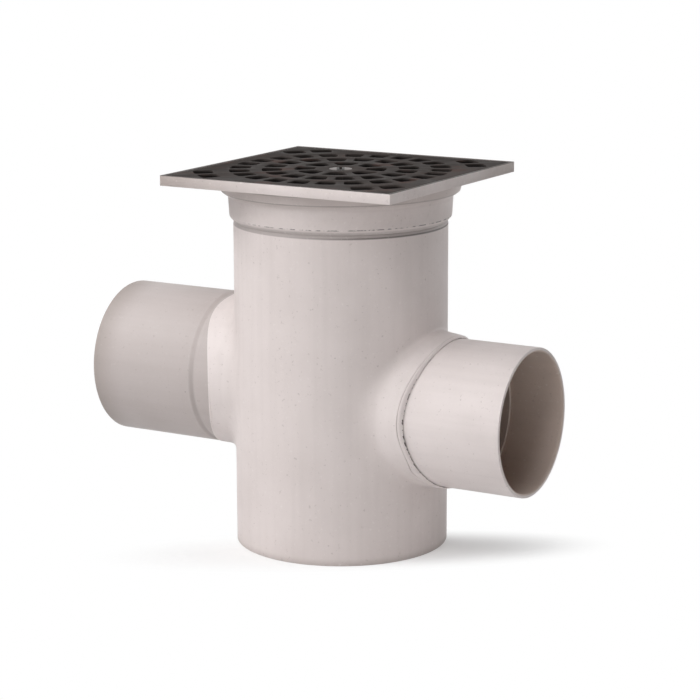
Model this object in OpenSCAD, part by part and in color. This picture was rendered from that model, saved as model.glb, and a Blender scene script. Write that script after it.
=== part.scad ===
// Gully trap: a straight-through waste pot made up from pressure pipe.
// Waste enters the socket on -X, passes under the dip bend that holds
// the water seal, and leaves by the plain spigot on +X. A square frame with
// a slotted grate closes the top. Millimetres, +Z up; the origin is the
// middle of the underside.

/* [Body pipe] */
// Outer diameter of the upright pipe
body_od = 160; // [140:1:200]
// Wall of the upright pipe
body_wall = 4; // [3:0.5:6]
// Thickness of the disc that closes the bottom
base_t = 5; // [3:0.5:8]
// Height from the top of the inlet pipe to the rim of the upright pipe
headroom = 68; // [50:1:120]
// Width of the chamfer on the upper rim of the upright pipe
rim_chamfer = 1; // [0.5:0.1:1.5]
// Height of that chamfer
rim_chamfer_h = 2.5; // [1:0.5:5]

/* [Side pipes] */
// Outer diameter of the inlet and outlet pipes
pipe_od = 110; // [90:1:125]
// Wall of the inlet and outlet pipes
pipe_wall = 3.2; // [2.2:0.1:4]
// Height of the outlet pipe's underside above the ground
outlet_rise = 53; // [48:1:80]
// How far the inlet axis lies above the outlet axis
fall = 14; // [5:1:30]
// Length of the outlet spigot, from the body's wall to its mouth
outlet_len = 80; // [60:1:140]
// Depth turned off the side pipes where they are cemented in the collars
turned = 0.6; // [0.55:0.05:1]

/* [Inlet socket] */
// Depth of the socket from its mouth to its seat
socket_depth = 85.5; // [50:0.5:120]
// Radial clearance of the socket round an incoming pipe
socket_gap = 0.2; // [0.1:0.05:0.5]
// Width of the groove pressed into the socket at its seat
groove_w = 2; // [1:0.2:4]
// Depth of that groove
groove_d = 1.2; // [0.8:0.1:1.6]

/* [Pulled collars] */
// How far each collar stands out from the body's wall
collar_h = 18.7; // [14:0.1:24]
// Wall of the outlet's collar at its rim
collar_wall = 3.5; // [2.5:0.1:5]
// Wall of the inlet's collar, pulled thin over the wider socket
thin_wall = 1; // [0.8:0.1:4]
// Width of the sweep from the collar into the body's wall
collar_blend = 6; // [4:0.5:8]
// Radius of the outlet collar's outer lip
lip_round = 1.6; // [0.5:0.1:2]

/* [Dip bend] */
// Wall of the dip bend
bend_wall = 2.4; // [2:0.1:3.5]
// Radius of the tight corner on the inside of the bend
bend_throat = 3.2; // [2:0.2:8]
// Gap under the dip bend, above the base disc
dip_gap = 23; // [15:1:30]
// Depth from the outlet's mouth to the rim of the dip bend
bend_inset = 43; // [30:1:50]
// Gap between the back of the dip bend and the body's bore
back_gap = 9.2; // [6:0.2:14]

/* [Frame] */
// How far the square frame overhangs the body pipe on each side
overhang = 16; // [12:1:30]
// Thickness of the square plate
plate_t = 7.5; // [6.5:0.5:12]
// Radius of the plate's corners
plate_corner = 3; // [2:0.5:8]
// Width of the rim round the grate
rim_w = 2.2; // [1.5:0.1:5]
// Width of the shelf that the grate lies on
shelf_w = 4; // [3:0.5:8]
// Drop from the shelf to the floor of the pan
pan_drop = 1.4; // [1:0.1:2]
// Height of the neck between the body's rim and the plate
neck_h = 30; // [28:1:60]
// How far the neck stands out from the body pipe
neck_proud = 2.8; // [1.5:0.1:5]
// Height of the groove between the body's rim and the neck
rim_groove_h = 1; // [0.5:0.1:2]
// Depth of that groove below the body's wall
rim_groove_d = 1.4; // [1:0.1:2.5]
// Draft of the neck, which is wider at the top
neck_draft = 0.9; // [0:0.1:2]
// Wall of the neck and its spigot
neck_wall = 4; // [3:0.5:5]
// How far the step under the plate stands out from the neck
step_proud = 6.5; // [4:0.5:9]
// Height of the step under the plate
step_h = 5; // [3:0.5:8]
// Depth of the spigot inside the body pipe
spigot_len = 28; // [15:1:45]

/* [Bridge] */
// Width of the bar across the neck
bar_w = 8; // [6:1:14]
// Depth of the bar across the neck
bar_h = 12; // [8:1:16]
// Diameter of the boss under the grate
boss_d = 16; // [12:1:24]

/* [Grate] */
// Thickness of the grate
grate_t = 4; // [3:0.5:5]
// Clearance between the grate and the frame's rim
grate_gap = 0.3; // [0.2:0.1:1]
// How far the grate's top lies below the rim
grate_sink = 0.2; // [0.1:0.1:1]
// Radius of the solid hub
hub_r = 19; // [14:1:24]
// Width of the rings between the rows of slots
ring_bar = 9; // [6:0.5:12]
// Width of the spokes between neighbouring slots
spoke_w = 5.8; // [4:0.2:8]
// Width left between the outer row of slots and the grate's edge
border = 10.8; // [8:0.2:16]
// Width left between the outer row of slots and the corner slots
corner_bar = 12; // [8:0.5:16]
// Corner radius of the slots
slot_corner = 3; // [1.5:0.5:3.5]
// Distance from the grate's corners to the corner slots
corner_margin = 23; // [18:1:26]
// Width of the web on the grate's diagonals
diagonal_web = 5; // [4:0.5:8]

/* [Grate screw] */
// Diameter of the screw's head
head_d = 17; // [12:1:20]
// Height of the screw's head
head_h = 2.4; // [2:0.1:2.6]
// Diameter of the screw's shank
shank_d = 6; // [4:0.5:8]
// Length of the shank under the head
shank_len = 20; // [14:1:26]
// Radial clearance round the screw
screw_gap = 0.2; // [0.1:0.05:0.4]
// Width of the driver slot
driver_w = 2; // [1.2:0.1:3]
// Depth of the driver slot
driver_h = 1.2; // [0.8:0.1:1.6]
// Direction of the driver slot, round the screw
driver_turn = 120; // [0:5:175]

/* [Hidden] */
cut = 1;                // how far a cutting solid passes the face it cuts
weld = 1;               // how far solids of one piece run into each other

body_r = body_od / 2;
bore_r = body_r - body_wall;
pipe_r = pipe_od / 2;
pipe_bore_r = pipe_r - pipe_wall;
outlet_z = outlet_rise + pipe_r;
inlet_z = outlet_z + fall;
body_h = inlet_z + pipe_r + headroom;
outlet_x = body_r + outlet_len;

// Collars
collar_r = pipe_r + collar_wall;
collar_reach = body_r + collar_h;
cemented_r = pipe_r - turned;
rim_clearance = 0.2;    // from a collar's rim to the pipe at its full size
cemented_x = collar_reach + rim_clearance;
collar_sink = 0.5;      // how far the sweep starts inside the wall
collar_root = 2;        // how much farther in the collar's back lies
collar_sides = 64;      // facets round a collar
sweep_steps = 5;        // facets along a collar's sweep
lip_steps = 3;          // facets round a collar's lip

// Inlet socket, outwards from the collar
socket_r = pipe_r + socket_gap;
socket_od_r = socket_r + pipe_wall;
sleeve_r = socket_od_r - turned;
groove_x = cemented_x + groove_w;
stop_len = 1.6;         // from the groove to the seat
seat_x = groove_x + stop_len;
inlet_x = seat_x + socket_depth;

// Dip bend
bend_or = pipe_bore_r;
bend_ir = bend_or - bend_wall;
bend_r = bend_or + bend_throat;
dip_offset = bore_r - back_gap - bend_or;
bend_x = bend_r - dip_offset;
bend_rim_x = outlet_x - bend_inset;
dip_z = outlet_z - bend_r;
dip_len = dip_z - base_t - dip_gap;

// Frame, from the body's rim upwards
frame_side = body_od + 2 * overhang;
plate_z = body_h + neck_h;
top_z = plate_z + plate_t;
shelf_z = top_z - grate_sink - grate_t;
pan_z = shelf_z - pan_drop;
recess_side = frame_side - 2 * rim_w;
neck_r = body_r + neck_proud;
neck_bore_r = neck_r - neck_wall;
spigot_bore_r = bore_r - neck_wall;
step_r = neck_r + neck_draft + step_proud;
step_round = 3;         // radius of the step's lower edge
chamfer_h = 4;          // height of the chamfer at the foot of the neck
funnel_h = 9;           // height of the slope from the pan into the neck
funnel_w = 7;           // width of that slope
foot_h = 4;             // height of the slope from the neck into the spigot
bar_z = pan_z - funnel_h - bar_h;
tip_gap = 1;            // room under the tip of the screw

// Grate
grate_side = recess_side - 2 * grate_gap;
grate_r = grate_side / 2;
slot_l = (grate_r - border - hub_r - 2 * ring_bar) / 3;
rows = 3;
row_count = 8;          // slots in the first row; each row adds as many
corner_in = grate_r - border + corner_bar;
corner_out = grate_r * sqrt(2) - corner_margin;
corner_half = 6;        // half angle that a corner slot spans
head_seat = grate_t - head_h;
arc_steps = 3;          // facets on a slot's corner
$fn = 96;

pvc = [0.87, 0.83, 0.81];
bend_grey = [0.72, 0.70, 0.69];
dark = [0.30, 0.27, 0.26];
steel = [0.80, 0.80, 0.80];

// A cylinder that lies along +X, from x0 to x1 at height z.
module along_x(r, x0, x1, z) {
    translate([x0, 0, z]) rotate([0, 90, 0]) cylinder(r = r, h = x1 - x0);
}

// A square with round corners, centred on the origin.
module rounded_square(side, r) {
    square([side, side - 2 * r], center = true);
    square([side - 2 * r, side], center = true);
    for (x = [-1, 1], y = [-1, 1])
        translate([x * (side / 2 - r), y * (side / 2 - r)]) circle(r = r, $fn = 32);
}

// ---- Pulled collars ----

// X of a round wall of radius r round Z, where the ray at angle a and radius
// q round the X axis meets it.
function wall_x(r, q, a) = sqrt(r * r - pow(q * cos(a), 2));

// Where the tangent to the body's wall at radius q meets the collar's surface.
function knee_x(a, q) =
    wall_x(body_r, q, a)
    + q * pow(cos(a), 2) / wall_x(body_r, q, a) * collar_blend;

// A point of the sweep at parameter t, from the wall (0) to where it runs
// into the surface of a collar of radius r (1), as [x, radius].
function sweep_point(a, r, t) =
    let (q = r + collar_blend)
    let (p0 = [wall_x(body_r, q, a) - collar_sink, q])
    let (p1 = [knee_x(a, q), r])
    let (p2 = [knee_x(a, q) + collar_blend, r])
    (1 - t) * (1 - t) * p0 + 2 * t * (1 - t) * p1 + t * t * p2;

// A point of a collar's rounded lip at angle b, from its surface (0) to its
// rim (90), as [x, radius].
function lip_point(a, r, lip, b) = [
    wall_x(collar_reach, r, a) - lip * (1 - sin(b)),
    r - lip * (1 - cos(b))
];

// One section at angle a of a collar of radius r round a hole of radius h:
// the sweep, the lip, the trimmed rim, then back inside the body.
function collar_section(a, r, h, lip) = concat(
    [for (i = [0 : sweep_steps]) sweep_point(a, r, i / sweep_steps)],
    [for (i = [0 : lip_steps]) lip_point(a, r, lip, 90 * i / lip_steps)],
    [
        [wall_x(collar_reach, h - cut, a), h - cut],
        [sweep_point(a, r, 0)[0] - collar_root, h - cut],
        [sweep_point(a, r, 0)[0] - collar_root, r + collar_blend]
    ]
);

// The wall drawn out of the body round a side pipe at height z, as a ring of
// sections that follow the saddle between the two pipes. It opens towards +X.
module collar(z, r, h, lip) {
    per = len(collar_section(0, r, h, lip));
    points = [
        for (k = [0 : collar_sides - 1])
            let (a = 360 * k / collar_sides)
            for (s = collar_section(a, r, h, lip)) [s[0], s[1] * cos(a), z + s[1] * sin(a)]
    ];
    faces = [
        for (k = [0 : collar_sides - 1], i = [0 : per - 1])
            let (a = k * per + i)
            let (b = k * per + (i + 1) % per)
            let (c = ((k + 1) % collar_sides) * per + (i + 1) % per)
            let (d = ((k + 1) % collar_sides) * per + i)
            for (f = [[a, b, c], [a, c, d]]) f
    ];
    polyhedron(points = points, faces = faces, convexity = 6);
}

// ---- Pieces ----

// The upright pipe, with a collar pulled out of its wall on each side.
module body() {
    color(pvc) difference() {
        union() {
            cylinder(r = body_r, h = body_h - rim_chamfer_h);
            translate([0, 0, body_h - rim_chamfer_h])
                cylinder(r1 = body_r, r2 = body_r - rim_chamfer, h = rim_chamfer_h);
            collar(outlet_z, collar_r, cemented_r, lip_round);
            mirror([1, 0, 0])
                collar(inlet_z, sleeve_r + thin_wall, sleeve_r, thin_wall / 2);
        }
        translate([0, 0, -cut]) cylinder(r = bore_r, h = body_h + 2 * cut);
        along_x(cemented_r, 0, collar_reach + cut, outlet_z);
        along_x(sleeve_r, -collar_reach - cut, 0, inlet_z);
    }
}

// The disc cemented into the foot of the body.
module base_disc() {
    color(pvc) cylinder(r = bore_r, h = base_t);
}

// The inlet: a socket whose wall runs on through the collar to the bore.
module inlet_pipe() {
    color(pvc) difference() {
        translate([0, 0, inlet_z]) rotate([0, -90, 0]) rotate_extrude() polygon([
            [pipe_bore_r, 0],
            [sleeve_r, 0],
            [sleeve_r, cemented_x],
            [socket_od_r - groove_d, cemented_x],
            [socket_od_r - groove_d, groove_x],
            [socket_od_r, groove_x],
            [socket_od_r, inlet_x],
            [socket_r, inlet_x],
            [socket_r, seat_x],
            [pipe_bore_r, seat_x]
        ]);
        translate([0, 0, -cut]) cylinder(r = bore_r, h = body_h);
    }
}

// The outlet: plain pipe through the collar, cut to the body's bore inside.
module outlet_pipe() {
    color(pvc) difference() {
        union() {
            along_x(cemented_r, 0, outlet_x, outlet_z);
            along_x(pipe_r, cemented_x, outlet_x, outlet_z);
        }
        along_x(pipe_bore_r, -cut, outlet_x + cut, outlet_z);
        translate([0, 0, -cut]) cylinder(r = bore_r, h = body_h);
    }
}

// The section of the dip bend's tube.
module bend_ring() {
    difference() {
        circle(r = bend_or);
        circle(r = bend_ir);
    }
}

// The trap: from inside the outlet pipe, round the bend and down to its dip.
module dip_bend() {
    color(bend_grey) union() {
        translate([bend_x, 0, outlet_z]) rotate([0, 90, 0])
            linear_extrude(height = bend_rim_x - bend_x) bend_ring();
        translate([bend_x, 0, dip_z]) rotate([90, 0, 0])
            rotate([0, 0, 90]) rotate_extrude(angle = 90)
            translate([bend_r, 0]) bend_ring();
        translate([-dip_offset, 0, dip_z - dip_len])
            linear_extrude(height = dip_len) bend_ring();
    }
}

// Outer profile of the neck, its step and its spigot, turned round Z.
module neck_outside() {
    top_r = neck_r + neck_draft;
    groove_r = body_r - rim_groove_d;
    rotate_extrude() {
        polygon([
            [0, body_h - spigot_len],
            [bore_r, body_h - spigot_len],
            [bore_r, body_h],
            [groove_r, body_h],
            [groove_r, body_h + rim_groove_h],
            [neck_r, body_h + rim_groove_h + chamfer_h],
            [top_r, plate_z - step_h],
            [step_r - step_round, plate_z - step_h],
            [step_r - step_round, plate_z + weld],
            [0, plate_z + weld]
        ]);
        translate([0, plate_z - step_h + step_round])
            square([step_r, step_h - step_round + weld]);
        translate([step_r - step_round, plate_z - step_h + step_round])
            circle(r = step_round, $fn = 32);
    }
}

// The water way through the frame, turned round Z.
module neck_inside() {
    rotate_extrude() polygon([
        [0, body_h - spigot_len - cut],
        [spigot_bore_r, body_h - spigot_len - cut],
        [spigot_bore_r, body_h],
        [neck_bore_r, body_h + foot_h],
        [neck_bore_r, pan_z - funnel_h],
        [neck_bore_r + funnel_w, pan_z],
        [neck_bore_r + funnel_w, pan_z + cut],
        [0, pan_z + cut]
    ]);
}

// The bar across the neck and the boss that the grate's screw goes into.
module bridge() {
    translate([0, 0, bar_z]) {
        intersection() {
            translate([-bar_w / 2, -body_r, 0]) cube([bar_w, body_od, bar_h]);
            cylinder(r = neck_bore_r + weld, h = bar_h);
        }
        cylinder(d = boss_d, h = shelf_z - bar_z, $fn = 48);
    }
}

// The square frame with its pan, neck, spigot and bridge, moulded as one.
module frame() {
    color(pvc) difference() {
        union() {
            difference() {
                union() {
                    translate([0, 0, plate_z]) linear_extrude(height = plate_t)
                        rounded_square(frame_side, plate_corner);
                    neck_outside();
                }
                translate([0, 0, shelf_z]) linear_extrude(height = plate_t)
                    rounded_square(recess_side, plate_corner - rim_w / 2);
                translate([0, 0, pan_z]) linear_extrude(height = plate_t)
                    rounded_square(recess_side - 2 * shelf_w, plate_corner);
                neck_inside();
            }
            bridge();
        }
        translate([0, 0, shelf_z + head_seat - shank_len - tip_gap])
            cylinder(r = shank_d / 2 + screw_gap, h = shank_len + tip_gap + cut, $fn = 32);
    }
}

// A slot's corner: an arc of radius slot_corner from angle a0 to angle a1
// round the point at radius q and angle b.
function corner_arc(q, b, a0, a1) = [
    for (i = [0 : arc_steps])
        let (a = a0 + (a1 - a0) * i / arc_steps)
        [q * cos(b) + slot_corner * cos(a), q * sin(b) + slot_corner * sin(a)]
];

// Upper half of a slot that lies between radii r0 and r1 and reaches to half
// a web from the ray at angle h.
function half_slot(r0, r1, h, web) =
    let (c = slot_corner)
    let (b1 = h - asin((web / 2 + c) / (r1 - c)))
    let (b0 = h - asin((web / 2 + c) / (r0 + c)))
    concat(
        [[r1, 0], [r1 * cos(b1 / 2), r1 * sin(b1 / 2)]],
        corner_arc(r1 - c, b1, b1, h + 90),
        corner_arc(r0 + c, b0, h + 90, b0 + 180),
        [[r0, 0]]
    );

// A slot with round corners, as a closed outline round the +X ray.
module slot(r0, r1, h, web) {
    upper = half_slot(r0, r1, h, web);
    last = len(upper) - 1;
    polygon(concat(upper, [for (i = [last - 1 : -1 : 1]) [upper[i][0], -upper[i][1]]]));
}

// All the slots: three rings round the hub and a pair in each corner.
module slots() {
    for (row = [0 : rows - 1]) {
        count = row_count * (row + 1);
        r0 = hub_r + row * (slot_l + ring_bar);
        for (k = [0 : count - 1])
            rotate(360 * (k + 0.5) / count) slot(r0, r0 + slot_l, 180 / count, spoke_w);
    }
    for (quarter = [0 : 3], side = [-1, 1])
        rotate(90 * quarter + 45 + side * corner_half)
            slot(corner_in, corner_out, corner_half, diagonal_web);
}

// The slotted grate that lies in the frame.
module grate() {
    color(dark) translate([0, 0, shelf_z]) difference() {
        linear_extrude(height = grate_t) difference() {
            rounded_square(grate_side, plate_corner - rim_w / 2);
            slots();
        }
        translate([0, 0, head_seat])
            cylinder(r = head_d / 2 + screw_gap, h = head_h + cut, $fn = 48);
        translate([0, 0, -cut])
            cylinder(r = shank_d / 2 + screw_gap, h = grate_t + 2 * cut, $fn = 32);
    }
}

// The slotted screw that holds the grate down to the bridge.
module grate_screw() {
    color(steel) translate([0, 0, shelf_z + head_seat]) difference() {
        union() {
            cylinder(d = head_d, h = head_h, $fn = 48);
            translate([0, 0, -shank_len]) cylinder(d = shank_d, h = shank_len + weld, $fn = 32);
        }
        rotate(driver_turn) translate([-head_d, -driver_w / 2, head_h - driver_h])
            cube([2 * head_d, driver_w, driver_h + cut]);
    }
}

body();
base_disc();
inlet_pipe();
outlet_pipe();
dip_bend();
frame();
grate();
grate_screw();
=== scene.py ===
"""The finished look of a gully trap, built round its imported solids.

Waste enters the socket of the inlet on -X, passes under the dip bend and
leaves by the outlet on +X; a framed grate closes the top. Lengths are metres in the
frame's own axes, with +Z up and the origin in the middle of the underside.
"""

import logging
from dataclasses import dataclass, replace
from enum import Enum
from math import asin, atan2, cos, degrees, exp, hypot, pi, radians, remainder, sin, sqrt, tan
from typing import Callable, Sequence

import bmesh
import bpy
from mathutils import Matrix, Vector


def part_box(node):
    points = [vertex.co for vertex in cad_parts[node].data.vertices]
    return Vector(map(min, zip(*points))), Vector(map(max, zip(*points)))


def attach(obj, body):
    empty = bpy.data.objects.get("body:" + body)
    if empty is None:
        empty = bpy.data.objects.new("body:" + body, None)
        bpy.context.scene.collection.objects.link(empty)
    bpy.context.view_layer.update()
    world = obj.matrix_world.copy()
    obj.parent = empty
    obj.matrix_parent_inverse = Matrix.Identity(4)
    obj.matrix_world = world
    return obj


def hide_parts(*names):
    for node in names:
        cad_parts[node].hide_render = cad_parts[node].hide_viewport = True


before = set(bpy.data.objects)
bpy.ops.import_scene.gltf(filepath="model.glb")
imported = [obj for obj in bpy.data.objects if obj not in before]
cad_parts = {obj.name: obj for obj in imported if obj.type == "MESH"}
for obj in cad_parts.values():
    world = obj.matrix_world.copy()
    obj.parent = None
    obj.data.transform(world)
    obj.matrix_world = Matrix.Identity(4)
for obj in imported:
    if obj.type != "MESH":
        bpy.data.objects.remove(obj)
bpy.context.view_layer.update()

log = logging.getLogger("gully_trap")

MM = 0.001
NEAR = 0.1 * MM

Pair = tuple[float, float]
Triple = tuple[float, float, float]
Mesh = bmesh.types.BMesh
Vert = bmesh.types.BMVert
Edge = bmesh.types.BMEdge
Face = bmesh.types.BMFace
Piece = bpy.types.Object
Material = bpy.types.Material
Socket = bpy.types.NodeSocket
Paint = Socket | Triple


class Slot(Enum):
    """Material slots of the record."""

    PVC = "pvc"
    BEND = "bend_pvc"
    GRATE = "grate_plastic"
    STEEL = "screw_steel"


class Mark(Enum):
    """Attributes of the pot's points that its finish reads."""

    RIM = "rim"
    SEAM = "seam"
    CREASE = "crease"


# ---- Sizes ----


LOW, HIGH = 0, 1
X, Y, Z = 0, 1, 2


@dataclass(frozen=True)
class Layout:
    """Sizes and places that several pieces share, from the boxes of the frame's nodes."""

    body_r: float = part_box("body")[HIGH][Y]
    bore_r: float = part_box("base_disc")[HIGH][Y]
    body_h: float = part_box("body")[HIGH][Z]
    reach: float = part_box("body")[HIGH][X]
    pipe_r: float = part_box("outlet_pipe")[HIGH][Y]
    pipe_bore_r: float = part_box("dip_bend")[HIGH][Y]
    outlet_z: float = (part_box("outlet_pipe")[LOW][Z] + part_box("outlet_pipe")[HIGH][Z]) / 2
    outlet_x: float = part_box("outlet_pipe")[HIGH][X]
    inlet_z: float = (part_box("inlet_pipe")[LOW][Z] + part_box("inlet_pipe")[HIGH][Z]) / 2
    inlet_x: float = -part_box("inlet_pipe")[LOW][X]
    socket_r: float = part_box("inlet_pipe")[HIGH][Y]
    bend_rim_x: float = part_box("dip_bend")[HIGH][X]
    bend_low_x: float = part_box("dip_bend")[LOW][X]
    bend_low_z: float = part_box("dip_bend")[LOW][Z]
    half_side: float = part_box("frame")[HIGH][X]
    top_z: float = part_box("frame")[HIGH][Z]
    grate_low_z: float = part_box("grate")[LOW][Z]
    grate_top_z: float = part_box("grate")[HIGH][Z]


# ---- Mesh work ----


def rounded_outline(corners: Sequence[Triple], steps: int = 4) -> list[Pair]:
    """Rounds the corners of a closed outline.

    Args:
        corners: (radius, height, rounding) of each corner, in order.
        steps: Segments of each rounding.

    Returns:
        The outline's points, with an arc in place of each rounded corner.
    """
    points: list[Pair] = []
    count = len(corners)
    for i, (r, h, rounding) in enumerate(corners):
        here = Vector((r, h))
        if rounding <= 0:
            points.append((r, h))
            continue
        back = Vector(corners[i - 1][:2]) - here
        ahead = Vector(corners[(i + 1) % count][:2]) - here
        half_turn = back.angle(ahead) / 2
        cut = min(rounding / tan(half_turn), back.length * 0.49, ahead.length * 0.49)
        back.normalize()
        ahead.normalize()
        centre = here + (back + ahead).normalized() * (cut / cos(half_turn))
        start = here + back * cut - centre
        sweep = start.angle_signed(here + ahead * cut - centre)
        swings = (Matrix.Rotation(-sweep * k / steps, 2) for k in range(steps + 1))
        points += [tuple(centre + swing @ start) for swing in swings]
    return points


def turned(outline: Sequence[Pair], steps: int = 160) -> Mesh:
    """Spins a closed outline of (radius, height) points round Z.

    Args:
        outline: The section's points, in order.
        steps: Facets round the axis.

    Returns:
        The turned solid, with its faces pointing outwards.
    """
    bm = bmesh.new()
    verts = [bm.verts.new((r, 0.0, h)) for r, h in outline]
    edges = [bm.edges.new((a, b)) for a, b in zip(verts, verts[1:] + verts[:1])]
    bmesh.ops.spin(
        bm,
        geom=verts + edges,
        cent=(0, 0, 0),
        axis=(0, 0, 1),
        angle=2 * pi,
        steps=steps,
        use_merge=True,
    )
    closed(bm)
    return bm


def closed(bm: Mesh) -> None:
    """Merges doubled points and turns the faces outwards."""
    bmesh.ops.remove_doubles(bm, verts=bm.verts, dist=0.0001 * MM)
    bmesh.ops.recalc_face_normals(bm, faces=bm.faces)


def mapped_grid(
    bm: Mesh, columns: int, rows: int, place: Callable[[int, int], Vector]
) -> list[Vert]:
    """Adds a grid and puts each of its points where a rule says.

    Args:
        bm: The mesh that receives the grid.
        columns: Cells across the grid.
        rows: Cells along the grid.
        place: Gives the point of a column and a row.

    Returns:
        The grid's points.
    """
    made = bmesh.ops.create_grid(bm, x_segments=columns, y_segments=rows, size=1.0)
    for vert in made["verts"]:
        column = round((vert.co.x + 1) / 2 * columns)
        row = round((vert.co.y + 1) / 2 * rows)
        vert.co = place(column, row)
    return made["verts"]


def edges_where(bm: Mesh, holds: Callable[[Vert], bool]) -> list[Edge]:
    """Lists the edges whose two ends both hold to a rule."""
    return [e for e in bm.edges if all(holds(v) for v in e.verts)]


def ring_edges(bm: Mesh, radius: float, z: float) -> list[Edge]:
    """Lists the edges of the circle of that radius round Z at height z."""
    return edges_where(bm, lambda v: abs(v.co.z - z) < NEAR and abs(v.co.xy.length - radius) < NEAR)


def sharp_edges(bm: Mesh, turn: float) -> list[Edge]:
    """Lists the edges whose two faces differ by more than a turn in degrees."""
    limit = radians(turn)
    return [e for e in bm.edges if len(e.link_faces) == 2 and e.calc_face_angle() > limit]


def ease(bm: Mesh, edges: Sequence[Edge], width: float, segments: int = 2) -> None:
    """Rounds edges to the given width."""
    bmesh.ops.bevel(
        bm,
        geom=list(edges),
        offset=width,
        affect="EDGES",
        segments=segments,
        profile=0.5,
        material=-1,
        clamp_overlap=True,
    )


def add_block(bm: Mesh, middle_z: float, size: Triple) -> None:
    """Adds a box of that size, centred on the Z axis at a height."""
    place = Matrix.Translation((0, 0, middle_z)) @ Matrix.Diagonal((*size, 1))
    bmesh.ops.create_cube(bm, size=1.0, matrix=place)


def linked(name: str, data: bpy.types.ID) -> Piece:
    """Makes an object of its data and links it to the scene.

    Args:
        name: The object's name.
        data: Its mesh, lamp or camera.

    Returns:
        The object.
    """
    made = bpy.data.objects.new(name, data)
    bpy.context.scene.collection.objects.link(made)
    return made


def as_piece(bm: Mesh, name: str, sharp: float = 35.0) -> Piece:
    """Turns a mesh into a smooth-shaded object at the origin.

    Args:
        bm: The finished mesh, which is freed.
        name: The piece's name.
        sharp: Edges that turn by more than this many degrees stay sharp.

    Returns:
        The new object, linked to the scene.
    """
    mesh = bpy.data.meshes.new(name)
    bm.to_mesh(mesh)
    bm.free()
    mesh.shade_smooth()
    mesh.set_sharp_from_angle(angle=radians(sharp))
    log.info("%s: %d faces", name, len(mesh.polygons))
    return linked(name, mesh)


def settle(piece: Piece, slot: Slot, material: Material, *nodes: str) -> None:
    """Dresses a piece, seats it on the part and hides the solids it stands for.

    Args:
        piece: The piece, with its place in its mesh.
        slot: Its slot in the record; not used.
        material: Its finish.
        nodes: The solids that it stands for.
    """
    piece.data.materials.clear()
    piece.data.materials.append(material)
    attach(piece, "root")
    if nodes:
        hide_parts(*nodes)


# ---- Finishes ----


class Graph:
    """A thin layer over a node tree."""

    def __init__(self, owner: Material | bpy.types.World) -> None:
        """Takes over the tree of a material or a world, and empties it.

        Args:
            owner: The material or the world.
        """
        owner.use_nodes = True
        self.nodes, self.links = owner.node_tree.nodes, owner.node_tree.links
        self.nodes.clear()

    def add(self, kind: str, inputs: dict | None = None, **settings: object) -> bpy.types.Node:
        """Adds a node.

        Args:
            kind: The node's type, without its ShaderNode prefix.
            inputs: Values or sockets for its inputs, by name or index.
            settings: Properties to set on the node.

        Returns:
            The new node.
        """
        node = self.nodes.new("ShaderNode" + kind)
        for key, value in settings.items():
            setattr(node, key, value)
        for key, value in (inputs or {}).items():
            if isinstance(value, Socket):
                self.links.new(value, node.inputs[key])
            else:
                node.inputs[key].default_value = value
        return node

    def math(self, operation: str, *values: float | Socket) -> Socket:
        """Adds a Math node and returns its result."""
        return self.add("Math", dict(enumerate(values)), operation=operation).outputs[0]

    def vector(self, operation: str, *values: Triple | Socket) -> bpy.types.Node:
        """Adds a Vector Math node."""
        return self.add("VectorMath", dict(enumerate(values)), operation=operation)

    def length(self, vector: Socket) -> Socket:
        """The length of a vector."""
        return self.vector("LENGTH", vector).outputs["Value"]

    def ramp(
        self, value: Socket, low: float, high: float, start: float = 0.0, end: float = 1.0
    ) -> Socket:
        """Maps a value from low..high to start..end, clamped and smooth."""
        return self.add(
            "MapRange",
            {"Value": value, "From Min": low, "From Max": high, "To Min": start, "To Max": end},
            interpolation_type="SMOOTHSTEP",
        ).outputs["Result"]

    def mixed(self, factor: Socket, first: Socket, second: Socket) -> Socket:
        """Mixes two shaders by a factor."""
        return self.add("MixShader", {0: factor, 1: first, 2: second}).outputs[0]

    def seen_directly(self) -> Socket:
        """Tells rays from the camera, a mirror or glass from the rest.

        Returns:
            One for such rays, nought for others.
        """
        path = self.add("LightPath").outputs
        opaque = self.math("MAXIMUM", path["Is Camera Ray"], path["Is Glossy Ray"])
        return self.math("MAXIMUM", opaque, path["Is Transmission Ray"])


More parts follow.
